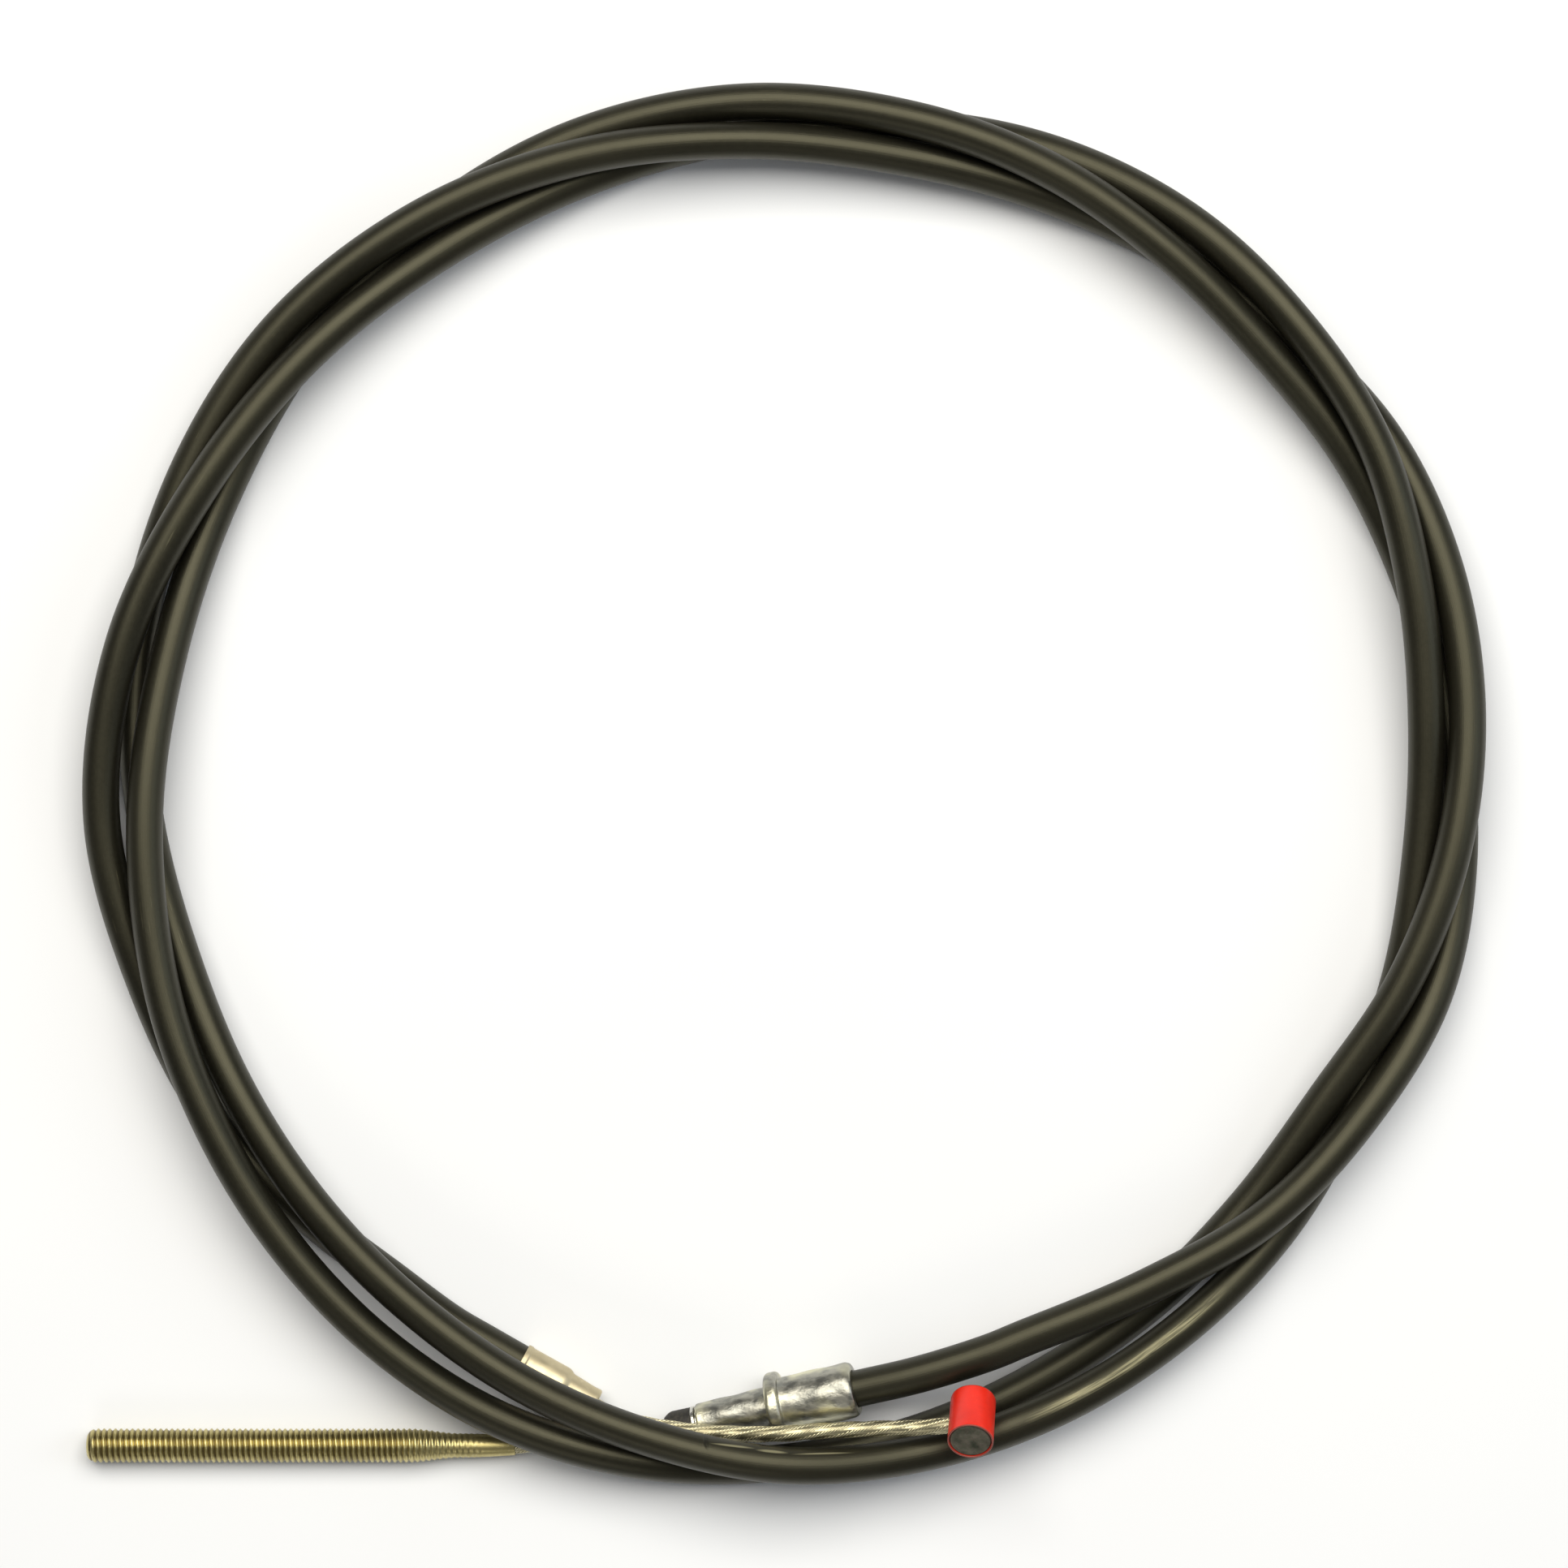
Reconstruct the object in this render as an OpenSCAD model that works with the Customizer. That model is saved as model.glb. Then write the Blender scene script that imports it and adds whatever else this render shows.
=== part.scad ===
// Bowden brake cable with a barrel nipple at the lever end and a threaded rod at the brake end,
// lying as a coil of almost three turns. Millimetres; +Z is up; the table is z = 0.

/* [Sheath] */
// Outer diameter of the plastic jacket
jacket_d = 6.5; // [6:0.1:6.5]
// Wall thickness of the jacket
jacket_wall = 0.7; // [0.5:0.05:0.8]
// Wall thickness of the wound steel conduit
conduit_wall = 0.55; // [0.4:0.05:0.6]
// Wall thickness of the plastic liner
liner_wall = 0.25; // [0.15:0.05:0.3]
// Gap between one layer of the sheath and the next
layer_gap = 0.05; // [0.02:0.01:0.08]
// Number of flats around each swept tube
tube_sides = 8; // [8:1:12]

/* [Inner wire] */
// Diameter of the inner wire rope
wire_d = 2.9; // [2.8:0.1:3]
// Diameter of one outer strand of the rope
strand_d = 0.86; // [0.8:0.02:0.88]
// Diameter of the core strand of the rope
core_d = 0.84; // [0.7:0.02:0.84]
// Length in which a strand goes once round the rope
strand_lay = 32; // [26:1:36]

/* [Lever end cap] */
// Outer diameter of the cap
cap_d = 7.2; // [7.1:0.1:7.2]
// Length of the wide part of the cap
cap_len = 9; // [8:0.5:9]
// Outer diameter of the cap's nose
cap_nose_d = 6; // [5:0.1:6]
// Length of the cap's nose
cap_nose_len = 6.3; // [5:0.1:6.3]

/* [Barrel nipple] */
// Outer diameter of the nipple
nipple_d = 8; // [7.6:0.1:8]
// Length of the nipple
nipple_len = 10; // [9:0.5:10]
// Wall thickness of the red sleeve
sleeve_wall = 0.3; // [0.3:0.05:0.6]

/* [Rod end stop] */
// Diameter of the stop's socket end
stop_d = 10; // [9.4:0.1:10]
// Diameter of the collar
collar_d = 12.1; // [11.5:0.1:12.1]
// Thickness of the collar
collar_len = 2.4; // [2:0.1:2.6]
// Length of the nose in front of the collar
stop_nose_len = 13.2; // [12:0.1:13.2]
// Diameter of the nose at its front end
stop_nose_d = 6.6; // [6.4:0.1:6.8]
// Diameter of the nose where it meets the collar
stop_nose_root_d = 7.4; // [7:0.1:7.6]
// Whole length of the stop
stop_len = 28.7; // [28:0.1:29]
// Diameter of the rubber seal on the nose
seal_d = 6; // [5.6:0.1:6]
// Length of the rubber seal
seal_len = 5; // [4:0.1:5]

/* [Threaded rod] */
// Major diameter of the thread
rod_d = 6; // [5.8:0.05:6]
// Length of the threaded rod, with its swaged end
rod_len = 75.7; // [70:0.1:75.7]
// Length of the full thread
rod_thread_len = 57; // [50:1:58]
// Diameter of the swaged end
swage_d = 4.3; // [4.1:0.1:4.6]

/* [Hidden] */
$fn = 48;

// Colours
black_plastic = [0.09, 0.09, 0.08];
spring_steel = [0.45, 0.45, 0.44];
white_plastic = [0.9, 0.9, 0.86];
zinc = [0.68, 0.69, 0.68];
tin = [0.88, 0.84, 0.74];
wire_steel = [0.8, 0.78, 0.7];
rubber = [0.05, 0.05, 0.05];
red_plastic = [0.92, 0.22, 0.1];
lead_grey = [0.35, 0.34, 0.32];
yellow_zinc = [0.72, 0.62, 0.33];

// Radii of the sheath's layers
jacket_r = jacket_d / 2;
jacket_bore_r = jacket_r - jacket_wall;
conduit_r = jacket_bore_r - layer_gap;
conduit_bore_r = conduit_r - conduit_wall;
liner_r = conduit_bore_r - layer_gap;
liner_bore_r = liner_r - liner_wall;
wire_r = wire_d / 2;
// Clear radius round the wire in the fittings, and how far the sheath goes into them
wire_bore_r = 1.8;
fitting_gap = 0.05;
cap_socket_len = 8;
stop_socket_len = 11;

// The coil. Places on it are given by the clockwise angle from straight down, in degrees.
// Where the three strands cross: at each angle the next strand lies on top (its turn in degrees).
TWIST = [[-2, -120], [75, 0], [116, 120], [160, 240], [203, 360], [242, 480], [280, 600],
         [311, 720], [358, 840]];
// Turn of each strand in the bundle: the first, second and third time round
STRAND_TURN = [-120, 120, 0];
// Mean radius of the bundle at each angle
COIL_RADIUS = [[60, 113.9], [75, 114.4], [90, 115.3], [105, 115.2], [120, 114.8], [135, 115.6],
               [150, 115.5], [165, 116], [180, 116.1], [195, 116.5], [210, 117.8], [225, 117.7],
               [240, 119], [255, 118], [270, 116.9], [285, 116.6], [300, 114.1], [315, 113.7]];
// How far the strands spread sideways at each angle, as a share of their spacing
SPREAD = [[60, 1.03], [75, 1.08], [90, 1.25], [100, 1.18], [112, 1.05], [120, 1]];
// Distance between the middles of two strands of the twisted bundle, and its lowest strand's height
strand_spacing = 7.2;
lowest = 3.3;
twist_r = strand_spacing / sqrt(3);
twist_z = lowest + twist_r;
// Angles of the rings on the twisted part of each turn
RING_ANGLES = concat([for (a = [72:15:192]) a], [for (a = [204:12:312]) a]);

// Hand-set places where the strands part at the bottom of the coil: [angle, radius, height]
FIRST_PASS = [[38, 111.6, 3.4], [49, 113.8, 3.35], [60, 116.7, 4]];
SECOND_PASS = [[324, 118.6, 8], [336, 119.6, 8.8], [348, 119.9, 9.8], [360, 118.9, 14.6],
               [372, 116.5, 14.2], [384, 114.4, 12.6], [396, 112.3, 11], [408, 110.9, 10],
               [420, 110.2, 8]];
THIRD_PASS = [[324, 112, 3.7], [336, 114.2, 3.3], [348, 117, 3.3], [360, 119.8, 4],
              [372, 121.6, 8.2], [384, 122.2, 9.6], [396, 121, 10.2], [408, 118.9, 11],
              [420, 116.6, 11.8]];
LAST_PASS = [[324, 108.7, 11.4], [337, 105.8, 11.2]];

// Lever end: the cap's mouth and its direction, and the straight sheath behind it
cap_mouth = [-46.7, -102.2, 3.7];
cap_turn = -30;
cap_dir = [cos(cap_turn), sin(cap_turn), 0];
LEVER_RUN = [[-52.8, -98.7, 3.7], [-58.8, -95.2, 3.6]];
// Rod end: the stop's front and back, and the sheath behind it
stop_front = [-15, -112.7, 4.1];
stop_back = [12.6, -106.3, 8.5];
stop_dir = (stop_back - stop_front) / norm(stop_back - stop_front);
ROD_RUN = [[36.2, -99.5, 11.2], [24.2, -103.4, 10.3]];

// Free wire from the lever end cap to the nipple, and its end in the nipple
nipple_at = [32.7, -110.9, 17];
LEVER_WIRE = [[-33.4, -109.85, 3.7], [-29.8, -111.7, 4], [-25.5, -112.7, 5.6], [-21, -113.2, 7.9],
              [-15, -113.7, 9.6], [-8, -113.9, 11], [-1, -113.6, 13.2], [8, -113, 13.4],
              [18, -112.6, 13.6], [23.2, -112.4, 14.3], [28.9, -111.7, 16]];
// Free wire from the seal on the stop to the threaded rod
rod_axis = [-123.2, -116.95, 3.02];
ROD_WIRE = [[-20.8, -113.96, 3.17], [-25, -114.8, 2.5], [-30, -115.6, 2.1], [-36, -116.2, 2.3],
            [-42, -116.6, 2.8], [-47.5, -116.95, 3.02]];

function unit(v) = v / norm(v);
// A point of the coil at a clockwise angle from straight down
function on_coil(angle, r, z) = [-r * sin(angle), -r * cos(angle), z];
function on_coil_list(list) = [for (p = list) on_coil(p[0], p[1], p[2])];
// A point of strand number turn where the three strands are twisted
function on_twist(angle, turn) =
    let (t = lookup(angle, TWIST) + STRAND_TURN[turn],
         r = lookup(angle, COIL_RADIUS) - lookup(angle, SPREAD) * twist_r * sin(t))
    on_coil(angle, r, twist_z + twist_r * cos(t));
function twisted(turn) = [for (a = RING_ANGLES) on_twist(a, turn)];

// The sheath's route between its two straight ends
SHEATH_MIDDLE = concat(LEVER_RUN, on_coil_list(FIRST_PASS), twisted(0), on_coil_list(SECOND_PASS),
                       twisted(1), on_coil_list(THIRD_PASS), twisted(2), on_coil_list(LAST_PASS),
                       ROD_RUN);
SHEATH_ROUTE = concat([cap_mouth + cap_socket_len * cap_dir, cap_mouth], SHEATH_MIDDLE,
                      [stop_back, stop_back - stop_socket_len * stop_dir]);

// Routes of the two free wires with their ends inside the sheath, the nipple and the rod
wire_end_gap = 0.2;
lever_wire_inner = LEVER_RUN[0] + wire_end_gap * cap_dir;
rod_wire_inner = ROD_RUN[1] - wire_end_gap * stop_dir;
rod_socket_len = 12;
LEVER_WIRE_ROUTE = concat([lever_wire_inner, cap_mouth, cap_mouth + cap_len * cap_dir],
                          LEVER_WIRE, [nipple_at]);
ROD_WIRE_ROUTE = concat([rod_wire_inner, stop_back, (stop_back + stop_front) / 2, stop_front],
                        ROD_WIRE, [ROD_WIRE[5] - [rod_socket_len - 1, 0, 0]]);

// Resampling of a route at equal steps: running lengths, then the point at a given length
function running(path, i = 0, sum = 0) =
    i == len(path) - 1 ? [sum] :
    concat([sum], running(path, i + 1, sum + norm(path[i + 1] - path[i])));
function segment_at(lengths, s, i = 0) =
    i >= len(lengths) - 2 || s <= lengths[i + 1] ? i : segment_at(lengths, s, i + 1);
function at_length(path, lengths, s) =
    let (i = segment_at(lengths, s), t = (s - lengths[i]) / (lengths[i + 1] - lengths[i]))
    path[i] + (path[i + 1] - path[i]) * t;
function resampled(path, count) =
    let (lengths = running(path), whole = lengths[len(lengths) - 1])
    [for (k = [0:count]) at_length(path, lengths, whole * k / count)];

// Direction of a route at point i, and the two directions across it
function heading(path, i) =
    let (before = path[max(i - 1, 0)], after = path[min(i + 1, len(path) - 1)])
    unit(after - before);
function across(path, i) = unit(cross([0, 0, 1], heading(path, i)));
function upward(path, i) = cross(heading(path, i), across(path, i));
function ring(path, i, r, sides) =
    [for (k = [0:sides - 1])
        path[i] + r * (cos(360 * k / sides) * across(path, i) + sin(360 * k / sides) * upward(path, i))];

// A rope's route at steps of at most a sixth of the strands' lay
function rope_path(route) =
    let (lengths = running(route))
    resampled(route, ceil(6 * lengths[len(lengths) - 1] / strand_lay));
// The route of one strand, left handed round a rope's route
function wound(path, r, phase) =
    let (turn = 360 * norm(path[1] - path[0]) / strand_lay)
    [for (i = [0:len(path) - 1])
        let (a = phase - turn * i)
        path[i] + r * (cos(a) * across(path, i) + sin(a) * upward(path, i))];

// Faces of a wall between ring after ring, from point number first
function wall_faces(rings, sides, first, inside) =
    [for (i = [0:rings - 2], k = [0:sides - 1], half = [0, 1])
        let (a = first + i * sides + k, b = first + i * sides + (k + 1) % sides,
             face = half == 0 ? [a, a + sides, b + sides] : [a, b + sides, b])
        inside ? [face[2], face[1], face[0]] : face];
// Faces of the flat end of a tube, between its outer and its inner ring
function rim_faces(outer, inner, sides, last) =
    [for (k = [0:sides - 1], half = [0, 1])
        let (j = (k + 1) % sides,
             face = half == 0 ? [outer + k, outer + j, inner + j] : [outer + k, inner + j, inner + k])
        last ? [face[2], face[1], face[0]] : face];

// A hollow tube along a route
module tube(path, r, bore_r) {
    rings = len(path);
    sides = tube_sides;
    inner = rings * sides;
    points = [for (radius = [r, bore_r], i = [0:rings - 1]) each ring(path, i, radius, sides)];
    faces = concat(wall_faces(rings, sides, 0, false), wall_faces(rings, sides, inner, true),
                   rim_faces(0, inner, sides, false),
                   rim_faces(inner - sides, 2 * inner - sides, sides, true));
    polyhedron(points = points, faces = faces, convexity = 20);
}

// A solid rod along a route
module solid_cord(path, r, sides) {
    rings = len(path);
    points = [for (i = [0:rings - 1]) each ring(path, i, r, sides)];
    faces = concat(wall_faces(rings, sides, 0, false), [[for (k = [0:sides - 1]) k]],
                   [[for (k = [0:sides - 1]) rings * sides - 1 - k]]);
    polyhedron(points = points, faces = faces, convexity = 20);
}

// Puts children, drawn along +Z, at a point with +Z along a direction
module along(at, dir) {
    translate(at)
        rotate([0, acos(dir[2]), atan2(dir[1], dir[0])])
            children();
}

// Sheath, from the outside in
module outer_jacket() { color(black_plastic) tube(SHEATH_ROUTE, jacket_r, jacket_bore_r); }
module steel_conduit() { color(spring_steel) tube(SHEATH_ROUTE, conduit_r, conduit_bore_r); }
module liner() { color(white_plastic) tube(SHEATH_ROUTE, liner_r, liner_bore_r); }
module inner_wire() { color(wire_steel) solid_cord(SHEATH_MIDDLE, wire_r, tube_sides); }

// Stepped cap on the sheath at the lever end: a socket, a shoulder and a narrower nose
module lever_end_cap() {
    socket_r = jacket_r + fitting_gap;
    chamfer = 0.4;
    nose_r = cap_nose_d / 2;
    front = cap_len + cap_nose_len;
    outside = [[wire_bore_r, 0], [cap_d / 2 - chamfer / 2, 0], [cap_d / 2, chamfer / 2],
               [cap_d / 2, cap_len - chamfer], [nose_r, cap_len + chamfer],
               [nose_r, front - chamfer], [nose_r - chamfer, front], [wire_bore_r, front]];
    color(tin)
        along(cap_mouth, cap_dir)
            difference() {
                rotate_extrude() polygon(outside);
                translate([0, 0, -1]) cylinder(r = socket_r, h = cap_socket_len + 1 + fitting_gap);
            }
}

// Die-cast stop on the sheath at the rod end: nose, collar and socket
module rod_end_stop() {
    nose_r = stop_nose_d / 2;
    round_r = 0.8;
    // How far a rounded corner's middle stands back, as a share of its radius
    corner = 0.3;
    lip = 0.4;
    draft = 0.2;
    collar_end = stop_nose_len + collar_len;
    outside = [[0, 0], [nose_r - round_r, 0], [nose_r - round_r * corner, round_r * corner],
               [nose_r, round_r], [stop_nose_root_d / 2, stop_nose_len],
               [collar_d / 2 - lip, stop_nose_len], [collar_d / 2, stop_nose_len + lip],
               [collar_d / 2, collar_end - lip], [collar_d / 2 - lip, collar_end],
               [stop_d / 2 - draft, collar_end], [stop_d / 2, stop_len - lip],
               [stop_d / 2 - lip, stop_len], [0, stop_len]];
    color(zinc)
        along(stop_front, stop_dir)
            difference() {
                rotate_extrude() polygon(outside);
                translate([0, 0, -1]) cylinder(r = bush_r + fitting_gap, h = stop_len);
                translate([0, 0, stop_len - stop_socket_len - fitting_gap])
                    cylinder(r = jacket_r + fitting_gap, h = stop_len);
            }
}

// Steel bush through the stop's nose; its flange holds the seal
bush_r = 2.1;
bush_len = 12;
flange_gap = 0.3;
flange_len = 0.6;
module guide_bush() {
    flange_end = flange_gap + flange_len;
    section = [[wire_bore_r, -flange_end], [seal_d / 2, -flange_end], [seal_d / 2, -flange_gap],
               [bush_r, -flange_gap], [bush_r, bush_len], [wire_bore_r, bush_len]];
    color(zinc) along(stop_front, stop_dir) rotate_extrude() polygon(section);
}

// Rubber seal in front of the flange
module nose_seal() {
    back = flange_gap + flange_len;
    tip = -back - seal_len;
    taper = 1.2;
    tip_r = 2.1;
    seal_r = seal_d / 2 - 0.1;
    section = [[wire_bore_r, tip], [tip_r, tip], [seal_r, tip + taper], [seal_r, -back],
               [wire_bore_r, -back]];
    color(rubber) along(stop_front, stop_dir) rotate_extrude() polygon(section);
}

// The nipple leans, and the wire goes in at right angles to it
nipple_yaw = -7.6;
nipple_lean = 38;
nipple_spin = 24;
wire_seat_len = 1.7;
core_hole_r = wire_r + 0.15;
sleeve_hole_r = wire_r + 0.25;
module nipple_frame() {
    translate(nipple_at)
        rotate([0, 0, nipple_yaw])
            rotate([nipple_lean, 0, 0])
                rotate([0, 0, nipple_spin])
                    children();
}
module wire_hole(r) {
    translate([wire_seat_len, 0, 0]) rotate([0, -90, 0]) cylinder(r = r, h = nipple_d);
}
module nipple_core() {
    core_r = nipple_d / 2 - sleeve_wall - fitting_gap;
    color(lead_grey)
        nipple_frame()
            difference() {
                cylinder(r = core_r, h = nipple_len, center = true);
                wire_hole(core_hole_r);
            }
}
module nipple_sleeve() {
    color(red_plastic)
        nipple_frame()
            difference() {
                cylinder(r = nipple_d / 2, h = nipple_len, center = true);
                cylinder(r = nipple_d / 2 - sleeve_wall, h = nipple_len + 1, center = true);
                wire_hole(sleeve_hole_r);
            }
}

// Rod with an M6 thread, drawn plain at the thread's major diameter, and a swaged end for the wire
module threaded_rod() {
    tip = 0.8;
    taper_len = 9;
    bevel_len = 2.5;
    bore_r = wire_r + 0.1;
    rim = 0.15;
    swage_at = rod_thread_len + taper_len;
    section = [[0, 0], [rod_d / 2 - tip, 0], [rod_d / 2, tip], [rod_d / 2, rod_thread_len],
               [swage_d / 2, swage_at], [swage_d / 2, rod_len - bevel_len],
               [bore_r + rim, rod_len], [bore_r, rod_len], [bore_r, rod_len - rod_socket_len],
               [0, rod_len - rod_socket_len]];
    color(yellow_zinc) along(rod_axis, [1, 0, 0]) rotate_extrude() polygon(section);
}

// Wire ropes: a core strand with six strands wound round it
strand_pitch_r = 1.02;
strand_sides = 6;
module rope_core(route) {
    color(wire_steel) solid_cord(rope_path(route), core_d / 2, strand_sides);
}
module rope_strand(route, number) {
    strand_route = wound(rope_path(route), strand_pitch_r, 60 * number);
    color(wire_steel) solid_cord(strand_route, strand_d / 2, strand_sides);
}
module lever_wire_core() { rope_core(LEVER_WIRE_ROUTE); }
module lever_strand(number) { rope_strand(LEVER_WIRE_ROUTE, number); }
module rod_wire_core() { rope_core(ROD_WIRE_ROUTE); }
module rod_strand(number) { rope_strand(ROD_WIRE_ROUTE, number); }

outer_jacket();
steel_conduit();
liner();
inner_wire();
lever_end_cap();
rod_end_stop();
guide_bush();
nose_seal();
nipple_core();
nipple_sleeve();
threaded_rod();
lever_wire_core();
rod_wire_core();
for (number = [1:6]) {
    lever_strand(number);
    rod_strand(number);
}
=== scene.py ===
"""Bowden brake cable lying as a coil of almost three turns, seen from straight above."""
import math

import bmesh
import bpy
import numpy as np
from mathutils import Matrix, Vector


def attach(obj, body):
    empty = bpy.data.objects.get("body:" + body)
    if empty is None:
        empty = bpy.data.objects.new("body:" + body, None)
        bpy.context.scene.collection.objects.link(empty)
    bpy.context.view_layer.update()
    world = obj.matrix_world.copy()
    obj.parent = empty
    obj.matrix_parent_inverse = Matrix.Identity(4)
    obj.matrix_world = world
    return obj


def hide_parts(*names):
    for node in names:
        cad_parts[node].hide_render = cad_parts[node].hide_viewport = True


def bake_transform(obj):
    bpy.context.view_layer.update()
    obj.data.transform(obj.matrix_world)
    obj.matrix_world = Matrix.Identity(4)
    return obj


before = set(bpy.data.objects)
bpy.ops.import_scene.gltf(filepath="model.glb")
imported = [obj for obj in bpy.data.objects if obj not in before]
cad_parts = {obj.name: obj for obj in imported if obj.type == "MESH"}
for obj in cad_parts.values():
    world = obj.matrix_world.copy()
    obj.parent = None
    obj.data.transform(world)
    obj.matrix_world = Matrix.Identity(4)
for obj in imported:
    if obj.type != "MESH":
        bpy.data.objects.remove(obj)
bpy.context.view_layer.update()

MM = 0.001
TAU = 2 * math.pi


# ---------------------------------------------------------------- camera
VIEW_HEIGHT = 0.907
COIL_MIDDLE_Z = 0.007
FRAME_WIDTH = 0.276  # what the picture takes in at the height of the coil's middle
SENSOR = 36.0
cam_data = bpy.data.cameras.new("camera")
cam_data.sensor_width = SENSOR
cam_data.lens = SENSOR * (VIEW_HEIGHT - COIL_MIDDLE_Z) / FRAME_WIDTH
camera = bpy.data.objects.new("camera", cam_data)
camera.location = (0, 0, VIEW_HEIGHT)
bpy.context.scene.collection.objects.link(camera)
bpy.context.scene.camera = camera


# ---------------------------------------------------------------- routes, in millimetres
# Angles round the coil are degrees clockwise from straight down. TWIST gives how far the bundle of
# three strands has turned about its own middle there, in degrees
TWIST = [(-2, -120), (75, 0), (116, 120), (160, 240), (203, 360), (242, 480), (280, 600),
         (311, 720), (358, 840)]
STRAND_TURN = [-120, 120, 0]
# The radius of the bundle's middle, by angle
COIL_RADIUS = [(60, 113.9), (75, 114.4), (90, 115.3), (105, 115.2), (120, 114.8), (135, 115.6),
               (150, 115.5), (165, 116), (180, 116.1), (195, 116.5), (210, 117.8), (225, 117.7),
               (240, 119), (255, 118), (270, 116.9), (285, 116.6), (300, 114.1), (315, 113.7)]
# How far the strands spread sideways, as a share of their spacing, by angle
SPREAD = [(60, 1.03), (75, 1.08), (90, 1.25), (100, 1.18), (112, 1.05), (120, 1)]
STRAND_SPACING, LOWEST_Z = 7.2, 3.3
TWIST_R = STRAND_SPACING / math.sqrt(3)
TWIST_Z = LOWEST_Z + TWIST_R
RING_ANGLES = list(range(72, 193, 15)) + list(range(204, 313, 12))
# Each pass of the sheath along the bottom of the coil: angle, radius and height of its points
FIRST_PASS = [(38, 111.6, 3.4), (49, 113.8, 3.35), (60, 116.7, 4)]
SECOND_PASS = [(324, 118.6, 8), (336, 119.6, 8.8), (348, 119.9, 9.8), (360, 118.9, 14.6),
               (372, 116.5, 14.2), (384, 114.4, 12.6), (396, 112.3, 11), (408, 110.9, 10),
               (420, 110.2, 8)]
THIRD_PASS = [(324, 112, 3.7), (336, 114.2, 3.3), (348, 117, 3.3), (360, 119.8, 4),
              (372, 121.6, 8.2), (384, 122.2, 9.6), (396, 121, 10.2), (408, 118.9, 11),
              (420, 116.6, 11.8)]
LAST_PASS = [(324, 108.7, 11.4), (337, 105.8, 11.2)]
CAP_MOUTH = np.array([-46.7, -102.2, 3.7])
CAP_DIR = np.array([math.cos(math.radians(-30)), math.sin(math.radians(-30)), 0])
LEVER_RUN = [(-52.8, -98.7, 3.7), (-58.8, -95.2, 3.6)]
STOP_FRONT = np.array([-15, -112.7, 4.1])
STOP_BACK = np.array([12.6, -106.3, 8.5])
STOP_DIR = (STOP_BACK - STOP_FRONT) / np.linalg.norm(STOP_BACK - STOP_FRONT)
ROD_RUN = [(36.2, -99.5, 11.2), (24.2, -103.4, 10.3)]
NIPPLE_AT = np.array([32.7, -110.9, 17])
LEVER_WIRE = [(-33.4, -109.85, 3.7), (-29.8, -111.7, 4), (-25.5, -112.7, 5.6), (-21, -113.2, 7.9),
              (-15, -113.7, 9.6), (-8, -113.9, 11), (-1, -113.6, 13.2), (8, -113, 13.4),
              (18, -112.6, 13.6), (23.2, -112.4, 14.3), (28.9, -111.7, 16)]
ROD_TIP = np.array([-123.2, -116.95, 3.02])
ROD_WIRE = [(-20.8, -113.96, 3.17), (-25, -114.8, 2.5), (-30, -115.6, 2.1), (-36, -116.2, 2.3),
            (-42, -116.6, 2.8), (-47.5, -116.95, 3.02)]
CAP_SOCKET, STOP_SOCKET, ROD_SOCKET = 8, 11, 11
CAP_LEN = 9.0
WIRE_GAP = 0.2  # between the wire in the sheath and either free wire
SHEATH_STEP, WIRE_STEP = 1.6, 0.36
CURVE_STEPS = 24


def lookup(a, table):
    """The table's value at an angle, in straight lines between its rows."""
    return float(np.interp(a, [t[0] for t in table], [t[1] for t in table]))


def on_coil(angle, r, z):
    a = math.radians(angle)
    return (-r * math.sin(a), -r * math.cos(a), z)


def twisted(turn):
    """Points of one turn where the three strands wind round each other."""
    out = []
    for a in RING_ANGLES:
        t = math.radians(lookup(a, TWIST) + STRAND_TURN[turn])
        out.append(on_coil(a, lookup(a, COIL_RADIUS) - lookup(a, SPREAD) * TWIST_R * math.sin(t),
                           TWIST_Z + TWIST_R * math.cos(t)))
    return out


def passed(stations):
    return [on_coil(*s) for s in stations]


def smooth(points, step):
    """A curve through all the points (centripetal Catmull-Rom), with points every step."""
    p = np.array(points, float)
    p = np.vstack([2 * p[0] - p[1], p, 2 * p[-1] - p[-2]])
    fine = []
    for i in range(1, len(p) - 2):
        p0, p1, p2, p3 = p[i - 1:i + 3]
        t1 = np.linalg.norm(p1 - p0) ** 0.5
        t2 = t1 + np.linalg.norm(p2 - p1) ** 0.5
        t3 = t2 + np.linalg.norm(p3 - p2) ** 0.5
        for t in np.linspace(t1, t2, CURVE_STEPS, endpoint=False):
            a1 = p0 + (p1 - p0) * t / t1
            a2 = p1 + (p2 - p1) * (t - t1) / (t2 - t1)
            a3 = p2 + (p3 - p2) * (t - t2) / (t3 - t2)
            b1 = a1 + (a2 - a1) * t / t2
            b2 = a2 + (a3 - a2) * (t - t1) / (t3 - t1)
            fine.append(b1 + (b2 - b1) * (t - t1) / (t2 - t1))
    fine.append(p[-2])
    return resampled(np.array(fine), step)


def run_along(path):
    """The length run up to each point."""
    return np.concatenate([[0], np.cumsum(np.linalg.norm(np.diff(path, axis=0), axis=1))])


def resampled(path, step):
    run = run_along(path)
    at = np.linspace(0, run[-1], max(2, round(run[-1] / step) + 1))
    return np.stack([np.interp(at, run, path[:, k]) for k in range(3)], axis=1)


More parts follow.
